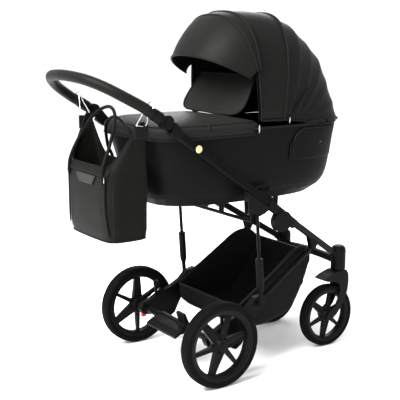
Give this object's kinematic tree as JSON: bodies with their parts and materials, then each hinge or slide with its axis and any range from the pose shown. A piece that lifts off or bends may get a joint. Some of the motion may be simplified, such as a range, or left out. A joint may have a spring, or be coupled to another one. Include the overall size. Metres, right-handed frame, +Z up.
{
  "type": "baby stroller",
  "caption": "Baby stroller with a hooded carrycot, sprung rear axle, swivel front wheels, folding side rails, shopping basket and a bag hung on the handle.",
  "frame": {"origin": "on the floor, under the middle of the overall length and width", "axes": "+X towards the front swivel wheels, +Y to the left side seen from behind the handle, +Z up"},
  "size_m": [1.1034, 0.584, 1.226],
  "materials": {
    "black_metal": "satin black",
    "black_plastic": "matte black",
    "tyre_rubber": "matt black",
    "grip_leather": "soft-grained black",
    "shell_fabric": "smooth dark charcoal weave",
    "black_fabric": "black weave",
    "mattress_fabric": "soft dark grey cotton",
    "gold_cap": "pale gold metallic",
    "red_plastic": "red",
    "bag_leather": "dark charcoal"
  },
  "bodies": {
    "chassis": {"fold_housing_left": "black_plastic", "fold_housing_right": "black_plastic", "front_leg_left": "black_metal", "front_leg_right": "black_metal", "swivel_housing_left": "black_plastic", "swivel_housing_right": "black_plastic", "front_cross_tube": "black_metal", "seat_cross_tube": "black_metal"},
    "upper_frame": {"upper_tube_left": "black_metal", "upper_tube_right": "black_metal", "handle_sleeve_left": "black_plastic", "handle_sleeve_right": "black_plastic"},
    "handlebar": {"handle_grip": "grip_leather", "handle_knuckle_left": "black_plastic", "handle_knuckle_right": "black_plastic"},
    "bag": {"bag_body": "bag_leather", "bag_strap_left": "black_fabric", "bag_strap_right": "black_fabric", "bag_handle_rear": "black_fabric", "bag_handle_front": "black_fabric"},
    "rear_frame": {"rear_tube_left": "black_metal", "rear_tube_right": "black_metal", "rear_bracket_left": "black_plastic", "rear_bracket_right": "black_plastic", "rear_axle": "black_metal", "shopping_basket": "black_fabric"},
    "brake": {"brake_pedal": "black_plastic"},
    "carrycot": {"carrycot_base": "black_plastic", "carrycot_tub": "shell_fabric", "mattress": "mattress_fabric", "apron": "shell_fabric", "hood_rear_panel": "shell_fabric"},
    "head_flap": {"head_flap": "shell_fabric"},
    "hood_front": {"hood_front_panel": "shell_fabric", "hood_visor": "shell_fabric", "hood_bow_front": "black_plastic"},
    "hood_mid": {"hood_bow_mid": "black_plastic"},
    "fold_button_left": {"fold_button_left": "gold_cap"},
    "tilt_button_left": {"tilt_button_left": "black_plastic"},
    "wheel_release_left": {"wheel_release_left": "red_plastic"},
    "strut_rod_left": {"strut_rod_left": "black_metal"},
    "strut_sleeve_left": {"strut_sleeve_left": "black_plastic"},
    "rear_wheel_left": {"rear_rim_left": "black_plastic", "rear_tyre_left": "tyre_rubber"},
    "caster_left": {"caster_fork_left": "black_plastic"},
    "front_wheel_left": {"front_rim_left": "black_plastic", "front_tyre_left": "tyre_rubber"},
    "release_lever_left": {"release_lever_left": "black_plastic"},
    "fold_button_right": {"fold_button_right": "gold_cap"},
    "tilt_button_right": {"tilt_button_right": "black_plastic"},
    "wheel_release_right": {"wheel_release_right": "red_plastic"},
    "strut_rod_right": {"strut_rod_right": "black_metal"},
    "strut_sleeve_right": {"strut_sleeve_right": "black_plastic"},
    "rear_wheel_right": {"rear_rim_right": "black_plastic", "rear_tyre_right": "tyre_rubber"},
    "caster_right": {"caster_fork_right": "black_plastic"},
    "front_wheel_right": {"front_rim_right": "black_plastic", "front_tyre_right": "tyre_rubber"},
    "release_lever_right": {"release_lever_right": "black_plastic"}
  },
  "joints": [
    {"name": "frame_fold", "type": "hinge", "parent": "chassis", "child": "upper_frame", "pos_m": [0.10108, 0, 0.60543], "axis": [0, 1, 0], "range_deg": [0, 170], "deforming": ["bag_body", "bag_strap_left", "bag_strap_right", "bag_handle_rear", "bag_handle_front"]},
    {"name": "handle_tilt", "type": "hinge", "parent": "upper_frame", "child": "handlebar", "pos_m": [-0.3103, 0, 0.888], "axis": [0, 1, 0], "range_deg": [-50, 0]},
    {"name": "bag_swing", "type": "hinge", "parent": "handlebar", "child": "bag", "pos_m": [-0.3673, 0, 0.9236], "axis": [0, 1, 0], "range_deg": [0, 50]},
    {"name": "suspension", "type": "hinge", "parent": "chassis", "child": "rear_frame", "pos_m": [0.3347, 0, 0.398], "axis": [0, 1, 0], "range_deg": [0, 4.5], "stiffness_Nm_per_rad": 700, "springref_deg": -5.16},
    {"name": "brake_press", "type": "hinge", "parent": "rear_frame", "child": "brake", "pos_m": [-0.1253, 0, 0.145], "axis": [0, -1, 0], "range_deg": [0, 18]},
    {"name": "carrycot_lift", "type": "slide", "parent": "chassis", "child": "carrycot", "axis": [0, 0, 1], "range_m": [0, 0.25]},
    {"name": "flap_fold", "type": "hinge", "parent": "carrycot", "child": "head_flap", "pos_m": [0.0247, 0, 0.889], "axis": [0, -1, 0], "range_deg": [0, 90]},
    {"name": "hood_fold", "type": "hinge", "parent": "carrycot", "child": "hood_front", "pos_m": [0.1367, 0, 0.868], "axis": [0, 1, 0], "range_deg": [0, 46], "deforming": ["hood_front_panel", "hood_rear_panel"]},
    {"name": "hood_mid_fold", "type": "hinge", "parent": "carrycot", "child": "hood_mid", "pos_m": [0.1367, 0, 0.868], "axis": [0, 1, 0], "range_deg": [0, 23]},
    {"name": "fold_button_press_left", "type": "slide", "parent": "upper_frame", "child": "fold_button_left", "axis": [0, -1, 0], "range_m": [0, 0.003], "stiffness_N_per_m": 400},
    {"name": "tilt_button_press_left", "type": "slide", "parent": "handlebar", "child": "tilt_button_left", "axis": [0, -1, 0], "range_m": [0, 0.003], "stiffness_N_per_m": 400},
    {"name": "wheel_release_push_left", "type": "slide", "parent": "rear_frame", "child": "wheel_release_left", "axis": [0, 0, 1], "range_m": [0, 0.003], "stiffness_N_per_m": 400},
    {"name": "release_lever_pull_left", "type": "slide", "parent": "carrycot", "child": "release_lever_left", "axis": [0, 0, 1], "range_m": [0, 0.006], "stiffness_N_per_m": 500},
    {"name": "strut_rod_swing_left", "type": "hinge", "parent": "chassis", "child": "strut_rod_left", "pos_m": [0.0437, 0.24, 0.592], "axis": [0, 1, 0], "range_deg": [-0.2, 1.95]},
    {"name": "strut_sleeve_swing_left", "type": "hinge", "parent": "rear_frame", "child": "strut_sleeve_left", "pos_m": [0.0677, 0.24, 0.24], "axis": [0, 1, 0], "range_deg": [-2.95, 0.2]},
    {"name": "rear_wheel_spin_left", "type": "hinge", "parent": "rear_frame", "child": "rear_wheel_left", "pos_m": [-0.1253, 0.27, 0.145], "axis": [0, 1, 0], "continuous": true},
    {"name": "caster_swivel_left", "type": "hinge", "parent": "chassis", "child": "caster_left", "pos_m": [0.4917, 0.16, 0.2832], "axis": [0, 0, 1], "continuous": true},
    {"name": "front_wheel_spin_left", "type": "hinge", "parent": "caster_left", "child": "front_wheel_left", "pos_m": [0.4357, 0.16, 0.116], "axis": [0, 1, 0], "continuous": true},
    {"name": "fold_button_press_right", "type": "slide", "parent": "upper_frame", "child": "fold_button_right", "axis": [0, 1, 0], "range_m": [0, 0.003], "stiffness_N_per_m": 400},
    {"name": "tilt_button_press_right", "type": "slide", "parent": "handlebar", "child": "tilt_button_right", "axis": [0, 1, 0], "range_m": [0, 0.003], "stiffness_N_per_m": 400},
    {"name": "wheel_release_push_right", "type": "slide", "parent": "rear_frame", "child": "wheel_release_right", "axis": [0, 0, 1], "range_m": [0, 0.003], "stiffness_N_per_m": 400},
    {"name": "release_lever_pull_right", "type": "slide", "parent": "carrycot", "child": "release_lever_right", "axis": [0, 0, 1], "range_m": [0, 0.006], "stiffness_N_per_m": 500},
    {"name": "strut_rod_swing_right", "type": "hinge", "parent": "chassis", "child": "strut_rod_right", "pos_m": [0.0437, -0.24, 0.592], "axis": [0, 1, 0], "range_deg": [-0.2, 1.95]},
    {"name": "strut_sleeve_swing_right", "type": "hinge", "parent": "rear_frame", "child": "strut_sleeve_right", "pos_m": [0.0677, -0.24, 0.24], "axis": [0, 1, 0], "range_deg": [-2.95, 0.2]},
    {"name": "rear_wheel_spin_right", "type": "hinge", "parent": "rear_frame", "child": "rear_wheel_right", "pos_m": [-0.1253, -0.27, 0.145], "axis": [0, 1, 0], "continuous": true},
    {"name": "caster_swivel_right", "type": "hinge", "parent": "chassis", "child": "caster_right", "pos_m": [0.4917, -0.16, 0.2832], "axis": [0, 0, 1], "continuous": true},
    {"name": "front_wheel_spin_right", "type": "hinge", "parent": "caster_right", "child": "front_wheel_right", "pos_m": [0.4357, -0.16, 0.116], "axis": [0, 1, 0], "continuous": true}
  ],
  "couplings": [
    {"joint": "bag_swing", "follows": "handle_tilt", "ratio": -1},
    {"joint": "hood_mid_fold", "follows": "hood_fold", "ratio": 0.5},
    {"joint": "strut_rod_swing_left", "follows": "suspension", "ratio": 0.3884},
    {"joint": "strut_sleeve_swing_left", "follows": "suspension", "ratio": -0.6116},
    {"joint": "strut_rod_swing_right", "follows": "suspension", "ratio": 0.3884},
    {"joint": "strut_sleeve_swing_right", "follows": "suspension", "ratio": -0.6116}
  ]
}
